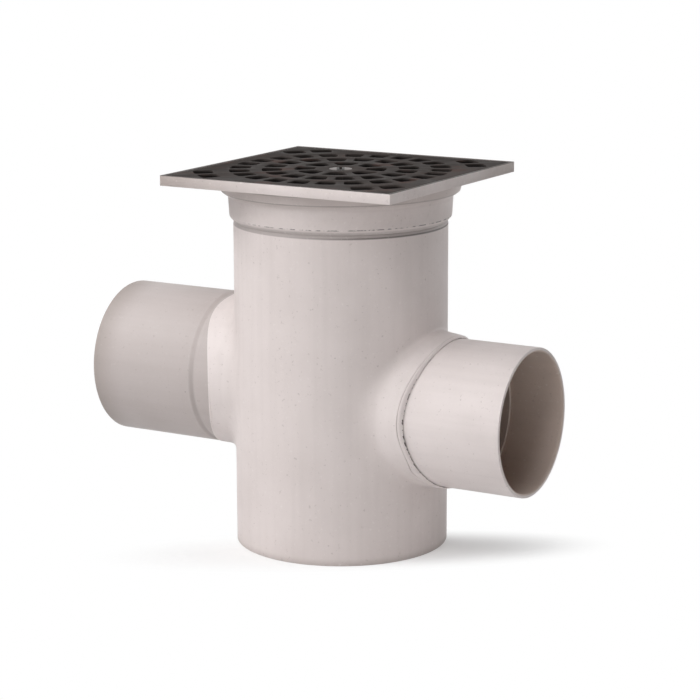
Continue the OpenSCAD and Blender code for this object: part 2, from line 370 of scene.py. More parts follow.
class Tree(Graph):
    """The node tree of a new material with a Principled shader."""

    def __init__(self, name: str, specular: float = 0.5) -> None:
        """Starts the material.

        Args:
            name: The material's name.
            specular: Its specular level.
        """
        self.material = bpy.data.materials.new(name)
        super().__init__(self.material)
        self.shader = self.add("BsdfPrincipled", {"Specular IOR Level": specular})
        self.add("OutputMaterial", {"Surface": self.shader.outputs[0]})
        self.place = self.add("TexCoord").outputs["Object"]

    def stretched(self, scale: Triple) -> Socket:
        """Object coordinates scaled by axis."""
        return self.add("Mapping", {"Vector": self.place, "Scale": scale}).outputs[0]

    def noise(self, scale: float, detail: float = 2.0, vector: Socket | None = None) -> Socket:
        """Adds a Noise texture and returns its factor."""
        inputs = {"Vector": vector or self.place, "Scale": scale, "Detail": detail}
        return self.add("TexNoise", inputs).outputs["Fac"]

    def blend(self, factor: Socket, first: Paint, second: Paint) -> Socket:
        """Mixes two colours by a factor.

        Args:
            factor: Share of the second colour.
            first: A colour or its socket.
            second: A colour or its socket.

        Returns:
            The mixed colour.
        """
        ends = [end if isinstance(end, Socket) else (*end, 1.0) for end in (first, second)]
        return self.add("Mix", {0: factor, 6: ends[0], 7: ends[1]}, data_type="RGBA").outputs[2]

    def tinted(
        self, colour: Paint, by: Socket, low: float, high: float, most: float, tint: Triple
    ) -> Socket:
        """Tints a colour as a value goes from low to high, where it has the most tint."""
        return self.blend(self.ramp(by, low, high, 0.0, most), colour, tint)

    def axis(self, name: str) -> Socket:
        """One of the object's coordinates, by its letter."""
        return self.add("SeparateXYZ", {0: self.place}).outputs[name]

    def away(self, across: Triple, height: float = 0.0) -> Socket:
        """Distance from a line at a height, in the directions that are 1 in across."""
        middle = self.vector("SUBTRACT", self.place, (0.0, 0.0, height)).outputs[0]
        return self.length(self.vector("MULTIPLY", middle, across).outputs[0])

    def band(self, value: Socket, middle: float, half_width: float, soft: float) -> Socket:
        """One inside a band round a value, falling to nought over soft."""
        away = self.math("ABSOLUTE", self.math("SUBTRACT", value, middle))
        return self.ramp(away, half_width, half_width + soft, 1.0, 0.0)

    def attribute(self, mark: Mark) -> Socket:
        """The factor of one of the piece's own attributes."""
        return self.add("Attribute", attribute_name=mark.value).outputs["Fac"]

    def finish(self, colour: Socket, roughness: Socket, height: Socket, depth: float) -> Material:
        """Links the shader to what has been worked out.

        Args:
            colour: Its base colour.
            roughness: Its roughness.
            height: Its relief, from nought to one.
            depth: How deep the relief goes.

        Returns:
            The finished material.
        """
        bump = self.add("Bump", {"Height": height, "Distance": depth, "Strength": 1.0})
        ends = {"Base Color": colour, "Roughness": roughness, "Normal": bump.outputs[0]}
        for name, socket in ends.items():
            self.links.new(socket, self.shader.inputs[name])
        return self.material


# SOIL_AND_SHADE tints the mottling and also paints shade; DIRT_AND_SHADE tints pits, dirt and
# cement and also paints shade.
SOIL_AND_SHADE: Triple = (0.300, 0.250, 0.225)
DIRT_AND_SHADE: Triple = (0.045, 0.036, 0.032)
LIGHT: Triple = (0.900, 0.850, 0.830)
ROUND_X: Triple = (0.0, 1.0, 1.0)
ROUND_Z: Triple = (1.0, 1.0, 0.0)


@dataclass(frozen=True)
class AxisTint:
    """A tint that thickens along an axis, from where it starts to where it is full; mostly used for
    painted shade.
    """

    axis: str
    start: float
    full: float
    strength: float
    colour: Triple = SOIL_AND_SHADE

    def over(self, tree: Tree, under: Paint) -> Socket:
        """The colour under the tint, with the tint over it."""
        along = tree.axis(self.axis)
        return tree.tinted(under, along, self.start, self.full, self.strength, self.colour)


@dataclass(frozen=True)
class Zone:
    """A colour that comes in with the distance from a line at a height."""

    across: Triple
    start: float
    full: float
    colour: Triple
    height: float = 0.0

    def over(self, tree: Tree, under: Paint) -> Socket:
        """The colour under the zone, with the zone's own over it."""
        away = tree.away(self.across, self.height)
        return tree.tinted(under, away, self.start, self.full, 1.0, self.colour)


@dataclass(frozen=True)
class Seam:
    """A dark band across an axis, growing along another, whole or broken in dashes; some uses are
    dirt, others painted shade.
    """

    place: float
    half_width: float
    soft: float
    strength: float
    start: float = -1.0
    full: float = -0.9
    broken: bool = False
    axis: str = "Z"
    along: str = "X"

    def over(self, tree: Tree, under: Paint) -> Socket:
        """Lays the dark band over a colour.

        Args:
            tree: The material's tree.
            under: The colour so far.

        Returns:
            The colour with the band over it.
        """
        line = tree.band(tree.axis(self.axis), self.place, self.half_width, self.soft)
        grown = tree.ramp(tree.axis(self.along), self.start, self.full, 0.0, self.strength)
        cover = tree.math("MULTIPLY", line, grown)
        if self.broken:
            cover = tree.math("MULTIPLY", cover, tree.ramp(tree.noise(260.0), 0.46, 0.58))
        return tree.blend(cover, under, DIRT_AND_SHADE)


@dataclass(frozen=True)
class Marks:
    """The painted highlight, the dirt and the painted shade that a piece's own points are marked
    with.
    """

    # Colour of the painted highlight on the rim.
    wear_and_highlight: Triple = LIGHT

    def over(self, tree: Tree, under: Paint) -> Socket:
        """Lays the painted highlight, the dirt and the painted shade over a colour.

        Args:
            tree: The material's tree.
            under: The colour so far.

        Returns:
            The colour with the marks over it.
        """
        # Painted highlight along the rim.
        colour = tree.tinted(under, tree.attribute(Mark.RIM), 0.55, 0.95, 0.7, self.wear_and_highlight)
        # Dirt and painted shade in the gap round the pipe, broken by noise.
        dashes = tree.ramp(tree.noise(420.0), 0.35, 0.65, -0.45, 0.25)
        gap_dirt_and_shade = tree.math("ADD", tree.attribute(Mark.SEAM), dashes)
        colour = tree.tinted(colour, gap_dirt_and_shade, 0.45, 0.75, 1.0, DIRT_AND_SHADE)
        # Painted shade in the crease.
        return tree.tinted(colour, tree.attribute(Mark.CREASE), 0.15, 1.0, 0.6, DIRT_AND_SHADE)


Overlay = AxisTint | Zone | Seam | Marks


@dataclass(frozen=True)
class PvcFinish:
    """Unplasticised PVC, as extruded or moulded: overlaid in layers with dirt, painted light and
    painted shade, mottled and speckled.
    """

    name: str
    colour: Triple = (0.760, 0.684, 0.666)
    overlays: tuple[Overlay, ...] = ()
    mottle: float = 0.10
    specks: float = 0.28
    drawn: Triple = (1.0, 1.0, 1.0)
    roughness: float = 0.50

    def surface(self, tree: Tree) -> tuple[Socket, Socket, Socket]:
        """Makes the plain plastic.

        Args:
            tree: The material's tree.

        Returns:
            Its colour, roughness and height.
        """
        cloud = tree.noise(22.0, 4.0)
        fine = tree.noise(420.0, 3.0)
        streak = tree.noise(160.0, 2.0, tree.stretched(self.drawn))
        colour = self.colour
        for layer in self.overlays:
            colour = layer.over(tree, colour)
        colour = tree.tinted(colour, cloud, 0.30, 0.75, self.mottle, SOIL_AND_SHADE)
        colour = tree.tinted(colour, streak, 0.35, 0.8, 0.06, SOIL_AND_SHADE)
        colour = tree.tinted(colour, fine, 0.60, 0.80, self.specks, LIGHT)
        colour = tree.tinted(colour, fine, 0.36, 0.24, 0.30, SOIL_AND_SHADE)
        colour = tree.blend(self.pits(tree), colour, DIRT_AND_SHADE)
        rough = tree.ramp(cloud, 0.3, 0.7, self.roughness - 0.06, self.roughness + 0.08)
        height = tree.math("MULTIPLY_ADD", fine, 0.35, tree.math("MULTIPLY", streak, 0.65))
        return colour, rough, height

    def pits(self, tree: Tree) -> Socket:
        """Makes sparse dark pits, each a fraction of a millimetre across.

        Args:
            tree: The material's tree.

        Returns:
            How much of the plastic they darken.
        """
        cells = tree.add("TexVoronoi", {"Vector": tree.place, "Scale": 70.0})
        chosen = tree.ramp(cells.outputs["Color"], 0.84, 0.88)
        dot = tree.ramp(cells.outputs["Distance"], 0.055, 0.025, 0.0, 0.38)
        return tree.math("MULTIPLY", dot, chosen)

    def material(self) -> Material:
        """Makes the finish.

        Returns:
            The new material.
        """
        tree = Tree(self.name, specular=0.22)
        colour, rough, height = self.surface(tree)
        return tree.finish(colour, rough, height, 0.06 * MM)


@dataclass(frozen=True)
class DarkPlasticFinish:
    """Dark, satin plastic, dusty on top and darkened to near black below its top face."""

    top_z: float
    name: str = "grate_plastic"
    colour: Triple = (0.030, 0.025, 0.023)
    recess_dark: Triple = (0.006, 0.005, 0.005)
    dust: Triple = (0.080, 0.066, 0.061)
    rust: Triple = (0.060, 0.036, 0.031)

    def material(self) -> Material:
        """Makes the finish.

        Returns:
            The new material.
        """
        tree = Tree(self.name, specular=0.06)
        cloud = tree.noise(30.0, 4.0)
        fine = tree.noise(500.0, 3.0)
        stain = tree.noise(45.0, 2.0, tree.stretched((1.0, 1.0, 0.3)))
        start, full = self.top_z - 0.6 * MM, self.top_z - 2.0 * MM
        colour = tree.tinted(self.colour, cloud, 0.45, 0.75, 0.5, self.dust)
        colour = tree.tinted(colour, stain, 0.56, 0.72, 0.7, self.rust)
        colour = tree.tinted(colour, fine, 0.62, 0.8, 0.5, self.dust)
        # Near black below the top face, in the slots.
        colour = tree.tinted(colour, tree.axis("Z"), start, full, 1.0, self.recess_dark)
        rough = tree.ramp(cloud, 0.3, 0.7, 0.60, 0.80)
        return tree.finish(colour, rough, fine, 0.1 * MM)


@dataclass(frozen=True)
class SteelFinish:
    """Dull steel, brushed, darkened in a band along the head's slot."""

    name: str = "screw_steel"
    colour: Triple = (0.175, 0.156, 0.150)
    stain: Triple = (0.080, 0.068, 0.064)
    recess_dark: Triple = (0.018, 0.014, 0.012)
    slot_dark_half: float = 2.7 * MM
    slot_dark_turn: float = 30.35

    def material(self) -> Material:
        """Makes the finish.

        Returns:
            The new material.
        """
        tree = Tree(self.name)
        tree.shader.inputs["Metallic"].default_value = 1.0
        brushed = tree.noise(900.0, 3.0, tree.stretched((1.0, 0.06, 1.0)))
        cloud = tree.noise(220.0, 3.0)
        colour = tree.tinted(self.colour, cloud, 0.5, 0.8, 0.6, self.stain)
        turn = radians(self.slot_dark_turn)
        across = (cos(turn), sin(turn), 0.0)
        off = tree.vector("DOT_PRODUCT", tree.place, across).outputs["Value"]
        # Darker in a band along the head's slot.
        dirt = tree.band(off, 0.0, self.slot_dark_half, 0.4 * MM)
        colour = tree.blend(dirt, colour, self.recess_dark)
        rough = tree.ramp(brushed, 0.3, 0.7, 0.42, 0.60)
        return tree.finish(colour, rough, brushed, 0.04 * MM)


# ---- The part ----


@dataclass(frozen=True)
class Bump:
    """A local change of a size, at so many degrees round a side pipe."""

    middle: float
    half_width: float
    height: float

    def at(self, a: float) -> float:
        """The change at angle a."""
        away = remainder(degrees(a) - self.middle, 360) / self.half_width
        return self.height * exp(-away * away)


@dataclass(frozen=True)
class Round:
    """A size that changes round a side pipe: at its crown, its flanks and its foot.

    The powers say how closely the crown's and the foot's sizes keep to them.
    """

    top: float
    side: float
    low: float
    top_power: float = 2.0
    low_power: float = 2.0
    bumps: tuple[Bump, ...] = ()

    def at(self, a: float) -> float:
        """Works out the size at an angle.

        Args:
            a: Angle round the pipe, from +Y.

        Returns:
            The size there, with its bumps.
        """
        lift = sin(a)
        end, power = (self.top, self.top_power) if lift > 0 else (self.low, self.low_power)
        even = self.side + (end - self.side) * abs(lift) ** power
        return even + sum(bump.at(a) for bump in self.bumps)


def millimetres(top: float, side: float, low: float, *bumps: Bump, **powers: float) -> Round:
    """A size round a side pipe, given in millimetres with its bumps."""
    scaled = tuple(Bump(bump.middle, bump.half_width, bump.height * MM) for bump in bumps)
    return Round(top * MM, side * MM, low * MM, bumps=scaled, **powers)


@dataclass(frozen=True)
class Collar:
    """The wall drawn out of the pot round a side pipe, on +X or -X.

    Its sleeve runs from root_r to lip_r and is trimmed at reach, a radius round Z. The
    crease lies behind the rim, crease_back from its rounding, which is cut flat in part.
    The rim can carry a painted highlight, the gap round the pipe dirt and painted shade, and the
    crease painted shade.
    """

    layout: Layout
    toward: int
    axis_z: float
    pushed_r: float
    reach: Round
    root_r: Round
    lip_r: Round
    blend: Round
    lip_round: Round
    gap: Round
    crease: Round
    crease_back: Round
    # Level of the dirt and painted shade in the gap round the pipe.
    gap_dirt_and_shade: Round
    flat: Round = Round(0.0, 0.0, 0.0)
    # Levels of the painted highlight on the rim and of the painted shade in the crease.
    wear_and_highlight: float = 0.0
    crease_shade: float = 0.0
    crease_w: float = 1.1 * MM
    highlight_w: float = 1.2 * MM
    gap_depth: float = 6.0 * MM
    wave: float = 0.12 * MM
    sweep_steps: int = 12
    straight_steps: int = 6
    lip_steps: int = 5

    def rim_reach(self, a: float) -> float:
        """Radius round Z of the hand-trimmed rim, at angle a round the pipe."""
        return self.reach.at(a) + self.wave * cos(5 * a + 0.6)

    def saddle(self, radius: float, q: float, a: float) -> float:
        """X where the ray at angle a and radius q meets a wall round Z."""
        return sqrt(radius**2 - (q * cos(a)) ** 2)

    def foot(self, a: float) -> float:
        """Radius round the pipe where the collar leaves the pot's wall."""
        return self.root_r.at(a) + self.blend.at(a)

    def hole(self, a: float) -> float:
        """Radius of the hole that the side pipe is pushed into."""
        return self.pushed_r + self.gap.at(a)

    def lip_edge(self, a: float) -> Pair:
        """X and radius of the outer edge of the rim, before it is rounded."""
        return self.saddle(self.rim_reach(a), self.lip_r.at(a), a), self.lip_r.at(a)

    def lip(self, a: float) -> float:
        """How far the rim is rounded, as far as its thickness lets it."""
        return min(self.lip_round.at(a), self.lip_r.at(a) - self.hole(a) - 0.15 * MM)

    def crease_x(self, a: float) -> float:
        """X of the crease's inner side."""
        return self.lip_edge(a)[0] - self.lip(a) - self.crease_w - self.crease_back.at(a)

    def section(self, a: float) -> list[Pair]:
        """The collar's section at angle a.

        Args:
            a: Angle round the pipe, from +Y.

        Returns:
            X and radius of each point, from the pot's wall to the hole.
        """
        root_q, blend, foot_q = self.root_r.at(a), self.blend.at(a), self.foot(a)
        foot_x = self.saddle(self.layout.body_r, foot_q, a)
        knee_x = foot_x + foot_q * cos(a) ** 2 / foot_x * blend
        edge_x, lip_q = self.lip_edge(a)
        lip, flat, hole = self.lip(a), self.flat.at(a), self.hole(a)
        slope = (lip_q - root_q) / (edge_x - knee_x)
        start_x, start_q = knee_x + blend, root_q + slope * blend

        def sleeve(x: float, sunk: float = 0.0) -> Pair:
            """Places a point on the sleeve, or sunk below it."""
            return x, start_q + slope * (x - start_x) - sunk

        points = []
        for i in range(1, self.sweep_steps + 1):
            t = i / self.sweep_steps
            near, mid, far = (1 - t) ** 2, 2 * t * (1 - t), t * t
            x = near * foot_x + mid * knee_x + far * start_x
            points.append((x, near * foot_q + mid * root_q + far * start_q))
        crease_x = self.crease_x(a)
        for i in range(1, self.straight_steps + 1):
            points.append(sleeve(start_x + (crease_x - start_x) * i / self.straight_steps))
        points.append(sleeve(crease_x + self.crease_w / 2, self.crease.at(a)))
        points.append(sleeve(crease_x + self.crease_w))
        end_x = edge_x - lip
        depth = self.saddle(self.rim_reach(a), lip_q - lip, a) - end_x
        for i in range(self.lip_steps + 1):
            share = i / self.lip_steps
            b = radians(90) * share
            out = depth * (flat * share + (1 - flat) * sin(b))
            drop = lip * (flat * share + (1 - flat) * (1 - cos(b)))
            points.append((end_x + out, lip_q - drop - slope * lip * cos(b)))
        front_x = self.saddle(self.rim_reach(a), hole, a)
        points.append((front_x - 0.05 * MM, hole + 0.25 * MM))
        points.append((front_x - 0.35 * MM, hole))
        return points

    def marks(self, point: Vector) -> dict[Mark, float]:
        """Works out the painted highlight on the rim, the dirt and painted shade in the gap, and
        the painted shade in the crease at a point.

        Args:
            point: The point, in the frame.

        Returns:
            The level of each mark.
        """
        x, lift = abs(point.x), point.z - self.axis_z
        q, a = hypot(point.y, lift), atan2(lift, point.y)
        edge_x, edge_q = self.lip_edge(a)
        hole = self.hole(a)
        away = hypot(x - edge_x, q - edge_q)
        gap_x = self.saddle(self.rim_reach(a), hole, a) - self.gap_depth
        in_gap = x > gap_x and q < hole + 0.3 * MM
        middle_x = self.crease_x(a) + self.crease_w / 2
        in_crease = abs(x - middle_x) < NEAR and abs(q - edge_q) < 2.5 * MM
        line = min(1.0, 0.3 + 0.7 * self.crease.at(a) / MM)
        # The rim's level is a painted highlight, the gap's is dirt with painted shade, the crease's
        # is painted shade.
        return {
            Mark.RIM: self.wear_and_highlight * max(0.0, 1.0 - away / self.highlight_w),
            Mark.SEAM: in_gap * max(0.0, self.gap_dirt_and_shade.at(a)),
            Mark.CREASE: in_crease * self.crease_shade * line,
        }


@dataclass(frozen=True)
class Pot:
    """The upright pipe with its two pulled collars."""

    layout: Layout
    up_cells: int = 56
    across_cells: int = 72
    wall_rows: int = 18
    bore_rows: int = 4
    inside_rows: int = 10
    chamfer_w: float = 0.6 * MM
    chamfer_h: float = 2.5 * MM
    turned_down: float = 0.6 * MM
    top_ease: float = 0.3 * MM
    chamfer_ease: float = 0.8 * MM
    foot_ease: float = 0.6 * MM
    # Lighter colour painted on the collars as painted light.
    collar_light: Triple = (0.812, 0.738, 0.721)
    collar_light_w: float = 9.0 * MM

    def border(self, k: int) -> Pair:
        """The k-th point on the border of half the pot's wall.

        Args:
            k: Index, counted up one seam, across the top, down and back.

        Returns:
            The angle round Z and the height.
        """
        up, across, top = self.up_cells, self.across_cells, self.layout.body_h
        k %= 2 * (up + across)
        if k < up:
            return pi / 2, top * k / up
        k -= up
        if k < across:
            return pi / 2 - pi * k / across, top
        k -= across
        if k < up:
            return -pi / 2, top * (1 - k / up)
        return -pi / 2 + pi * (k - up) / across, 0.0

    def half(self, bm: Mesh, collar: Collar) -> None:
        """Adds the half of the wall that carries one collar, inside and out.

        Args:
            bm: The mesh that receives it, with a layer for each mark.
            collar: The collar.
        """
        lay = self.layout
        columns = 2 * (self.up_cells + self.across_cells)
        border = [self.border(k) for k in range(columns)]
        angles = [atan2(z - collar.axis_z, lay.body_r * turn) for turn, z in border]
        sections = [collar.section(a) for a in angles]
        collar_end = self.wall_rows + len(sections[0])
        bore_end = collar_end + self.bore_rows
        rows = bore_end + self.inside_rows

        def wall(k: int, share: float, radius: float, foot_q: float) -> Vector:
            """Places a point between the half's border and the collar's foot.

            Args:
                k: Index of the column.
                share: Nought at the border, one at the foot.
                radius: Radius of the wall.
                foot_q: Radius of the foot round the pipe.

            Returns:
                The point.
            """
            a = angles[k]
            border_turn, border_z = border[k]
            foot_turn = asin(foot_q * cos(a) / radius)
            foot_z = collar.axis_z + foot_q * sin(a)
            turn = border_turn + (foot_turn - border_turn) * share
            z = border_z + (foot_z - border_z) * share
            return Vector((collar.toward * radius * cos(turn), radius * sin(turn), z))

        def round_pipe(x: float, q: float, a: float) -> Vector:
            """Places a point by its X, and its radius and angle round the pipe."""
            return Vector((collar.toward * x, q * cos(a), collar.axis_z + q * sin(a)))

        def place(column: int, j: int) -> Vector:
            """Places a point of the grid.

            Args:
                column: Its column, round the pipe.
                j: Its row, from the border outside to the border inside.

            Returns:
                The point.
            """
            k = column % columns
            a = angles[k]
            hole = collar.hole(a)
            if j <= self.wall_rows:
                return wall(k, j / self.wall_rows, lay.body_r, collar.foot(a))
            if j <= collar_end:
                return round_pipe(*sections[k][j - self.wall_rows - 1], a)
            if j <= bore_end:
                rim_x = sections[k][-1][0]
                share = (j - collar_end) / self.bore_rows
                x = rim_x + (collar.saddle(lay.bore_r, hole, a) - rim_x) * share
                return round_pipe(x, hole, a)
            return wall(k, 1 - (j - bore_end) / self.inside_rows, lay.bore_r, hole)

        layers = {mark: bm.verts.layers.float[mark.value] for mark in Mark}
        for vert in mapped_grid(bm, columns, rows, place):
            for mark, level in collar.marks(vert.co).items():
                vert[layers[mark]] = level

    def outlet_collar(self) -> Collar:
        """The outlet's collar, thick at its flanks."""
        return Collar(
            self.layout,
            toward=1,
            axis_z=self.layout.outlet_z,
            pushed_r=self.layout.pipe_r,
            reach=millimetres(97.3, 100.9, 98.8, Bump(200.0, 14.0, 0.7)),
            root_r=millimetres(59.6, 58.9, 56.2),
            lip_r=millimetres(56.9, 58.6, 56.0),
            blend=millimetres(2.4, 8.0, 3.0),
            lip_round=millimetres(1.4, 1.3, 0.8, Bump(221.0, 8.0, 0.8)),
            gap=millimetres(0.15, 0.35, 0.30, Bump(190.0, 20.0, 0.45)),
            crease=millimetres(0.35, 0.50, 0.25, Bump(184.0, 10.0, 0.3), Bump(219.0, 11.0, 0.9)),
            crease_back=millimetres(0.05, 0.05, 0.05, Bump(221.0, 10.0, 1.9)),
            flat=Round(1.0, 0.5, 0.0, low_power=0.4),
            # Dirt and painted shade in the gap round the pipe, and painted shade in the crease.
            gap_dirt_and_shade=Round(0.45, 0.55, 0.60, bumps=(Bump(190.0, 18.0, 0.5), Bump(219.0, 10.0, 0.35))),
            crease_shade=1.0,
        )

    def inlet_collar(self) -> Collar:
        """The inlet's collar, thin all round and trimmed short at its crown."""
        return Collar(
            self.layout,
            toward=-1,
            axis_z=self.layout.inlet_z,
            pushed_r=self.layout.socket_r - self.turned_down,
            reach=millimetres(91.8, 100.7, 98.5, top_power=9.0, low_power=1.0),
            root_r=millimetres(59.2, 59.2, 59.0),
            lip_r=millimetres(58.6, 58.7, 58.8),
            blend=millimetres(5.5, 8.0, 11.0),
            lip_round=millimetres(0.3, 0.35, 0.3),
            gap=millimetres(0.05, 0.12, 0.35, Bump(207.0, 15.0, 0.25)),
            crease=millimetres(0.0, 0.0, 0.0, Bump(207.0, 14.0, 0.8)),
            crease_back=millimetres(0.05, 0.05, 0.05, Bump(207.0, 14.0, 0.5)),
            # Dirt and painted shade in the gap round the pipe, and a painted highlight on the rim.
            gap_dirt_and_shade=Round(0.15, 0.35, 0.45),
            wear_and_highlight=1.0,
        )

    def build(self) -> Piece:
        """Builds the pot's wall as one smooth shell.

        Returns:
            The wall.
        """
        lay = self.layout
        bm = bmesh.new()
        for mark in Mark:
            bm.verts.layers.float.new(mark.value)
        for collar in (self.outlet_collar(), self.inlet_collar()):
            self.half(bm, collar)
        bmesh.ops.remove_doubles(bm, verts=bm.verts, dist=1e-6)
        for z in (0.0, lay.body_h):
            level = edges_where(bm, lambda v: abs(v.co.z - z) < NEAR)
            bmesh.ops.bridge_loops(bm, edges=[e for e in level if e.is_boundary])
        bmesh.ops.bisect_plane(
            bm,
            geom=bm.verts[:] + bm.edges[:] + bm.faces[:],
            plane_co=(0, 0, lay.body_h - self.chamfer_h),
            plane_no=(0, 0, 1),
        )
        rim = {v for e in ring_edges(bm, lay.body_r, lay.body_h) for v in e.verts}
        inward = 1 - self.chamfer_w / lay.body_r
        bmesh.ops.scale(bm, vec=(inward, inward, 1), verts=list(rim))
        bmesh.ops.recalc_face_normals(bm, faces=bm.faces)
        ease(bm, ring_edges(bm, lay.body_r - self.chamfer_w, lay.body_h), self.top_ease)
        ease(bm, ring_edges(bm, lay.body_r, lay.body_h - self.chamfer_h), self.chamfer_ease, 3)
        ease(bm, ring_edges(bm, lay.body_r, 0.0), self.foot_ease, 3)
        return as_piece(bm, "pot_wall")

    def finish(self) -> Material:
        """Makes the pot's plastic, painted lighter on the collars, with painted shade towards its
        foot and dark bands at its top.

        Returns:
            The new material.
        """
        lay = self.layout
        pulled_r = lay.body_r + 1.0 * MM
        return PvcFinish(
            "pot_pvc",
            drawn=(1.0, 1.0, 0.04),
            overlays=(
                # Painted light: the collars are lighter than the rest of the pot.
                Zone(ROUND_Z, pulled_r, pulled_r + self.collar_light_w, self.collar_light),
                # Painted shade: darker towards the foot, where the pot meets the floor.
                AxisTint("Z", 22 * MM, -4 * MM, 0.10),
                AxisTint("Z", 6 * MM, 0.0, 0.35),
                Seam(lay.body_h - 1.1 * MM, 1.1 * MM, 0.8 * MM, 0.42),
                Seam(lay.body_h - self.chamfer_h, 0.35 * MM, 0.5 * MM, 0.7, -20 * MM, 78 * MM),
                Marks(),
            ),
        ).material()

    def make(self) -> None:
        """Builds and dresses the pot."""
        settle(self.build(), Slot.PVC, self.finish(), "body")


@dataclass(frozen=True)
class SidePipes:
    """The plain outlet and the inlet with its socket."""

    layout: Layout
    turned_down: float = 0.6 * MM
    groove_x: float = 96.6 * MM
    groove_half: float = 3.1 * MM
    groove_depth: float = 1.05 * MM
    seat_x: float = 102.5 * MM
    socket_bore_r: float = 55.2 * MM
    lip: float = 0.5 * MM
    mouth_flare: float = 0.5 * MM
    flare_len: float = 2.0 * MM
    # Colour of the painted shade in the bores.
    bore_shade: Triple = (0.640, 0.525, 0.462)

    def tube(self, name: str, corners: Sequence[Triple], axis_z: float, toward: int) -> Piece:
        """Turns a pipe and lays it along X, its inner end trimmed to the pot's bore.

        Args:
            name: The piece's name.
            corners: (radius, X, rounding) of each corner, with the inner end at X 0.
            axis_z: Height of the pipe's axis.
            toward: 1 for a pipe on +X, -1 for one on -X.

        Returns:
            The pipe.
        """
        bm = turned(rounded_outline(corners))
        turn = Matrix.Rotation(radians(90) * toward, 4, "Y")
        bmesh.ops.transform(bm, matrix=Matrix.Translation((0, 0, axis_z)) @ turn, verts=bm.verts)
        for vert in [v for v in bm.verts if abs(v.co.x) < NEAR]:
            vert.co.x = toward * sqrt(self.layout.bore_r**2 - vert.co.y**2)
        return as_piece(bm, name)

    def outlet(self) -> Piece:
        """Builds the outlet.

        Returns:
            The pipe.
        """
        lay = self.layout
        corners = [
            (lay.pipe_r, 0.0, 0.0),
            (lay.pipe_r, lay.reach, 0.0),
            (lay.pipe_r, lay.outlet_x, self.lip),
            (lay.pipe_bore_r + self.mouth_flare, lay.outlet_x, self.lip),
            (lay.pipe_bore_r, lay.outlet_x - self.flare_len, 0.8 * MM),
            (lay.pipe_bore_r, 0.0, 0.0),
        ]
        return self.tube("outlet_tube", corners, lay.outlet_z, 1)

    def inlet(self) -> Piece:
        """Builds the inlet, with a groove pressed into it at the socket's seat.

        Returns:
            The pipe.
        """
        lay = self.layout
        sleeve_r = lay.socket_r - self.turned_down
        corners = [
            (sleeve_r, 0.0, 0.0),
            (sleeve_r, self.groove_x - self.groove_half, 2.4 * MM),
            (lay.socket_r - self.groove_depth, self.groove_x, 2.0 * MM),
            (lay.socket_r, self.groove_x + self.groove_half, 2.4 * MM),
            (lay.socket_r, lay.inlet_x, self.lip),
            (self.socket_bore_r, lay.inlet_x, self.lip),
            (self.socket_bore_r, self.seat_x, 0.0),
            (lay.pipe_bore_r, self.seat_x, 0.0),
            (lay.pipe_bore_r, 0.0, 0.0),
        ]
        return self.tube("inlet_tube", corners, lay.inlet_z, -1)

    def finish(self, axis_z: float, plastic: PvcFinish) -> Material:
        """Makes the plastic of a side pipe, drawn along X, with painted shade in its bore.

        Args:
            axis_z: Height of the pipe's axis.
            plastic: Its plastic, with its other wear.

        Returns:
            The new material.
        """
        start, full = (self.layout.pipe_bore_r + depth for depth in (1.6 * MM, 0.8 * MM))
        # Painted shade over the inside of the bore.
        bore = Zone(ROUND_X, start, full, self.bore_shade, axis_z)
        return replace(plastic, overlays=(*plastic.overlays, bore), drawn=(0.04, 1.0, 1.0)).material()

    def make(self) -> None:
        """Builds and dresses both pipes."""
        lay = self.layout
        # The outlet's plastic is painted lighter than the pot's, as painted light.
        outlet_pvc = PvcFinish("outlet_pvc", (0.820, 0.744, 0.728))
        settle(self.outlet(), Slot.PVC, self.finish(lay.outlet_z, outlet_pvc), "outlet_pipe")
        groove_dark_x = -self.groove_x - 0.9 * MM
        overlays = (
            # Painted shade: darker towards the socket's open end, where the light falls off.
            AxisTint("X", -160 * MM, -196 * MM, 0.60),
            # Darker along the socket's groove, most towards its lower side.
            Seam(groove_dark_x, 0.5 * MM, 2.6 * MM, 0.20, 165 * MM, 100 * MM, axis="X", along="Z"),
        )
        # The inlet's plastic is painted darker than the pot's, as painted shade.
        inlet_pvc = PvcFinish("inlet_pvc", (0.558, 0.500, 0.485), overlays, specks=0.10)
        settle(self.inlet(), Slot.PVC, self.finish(lay.inlet_z, inlet_pvc), "inlet_pipe")


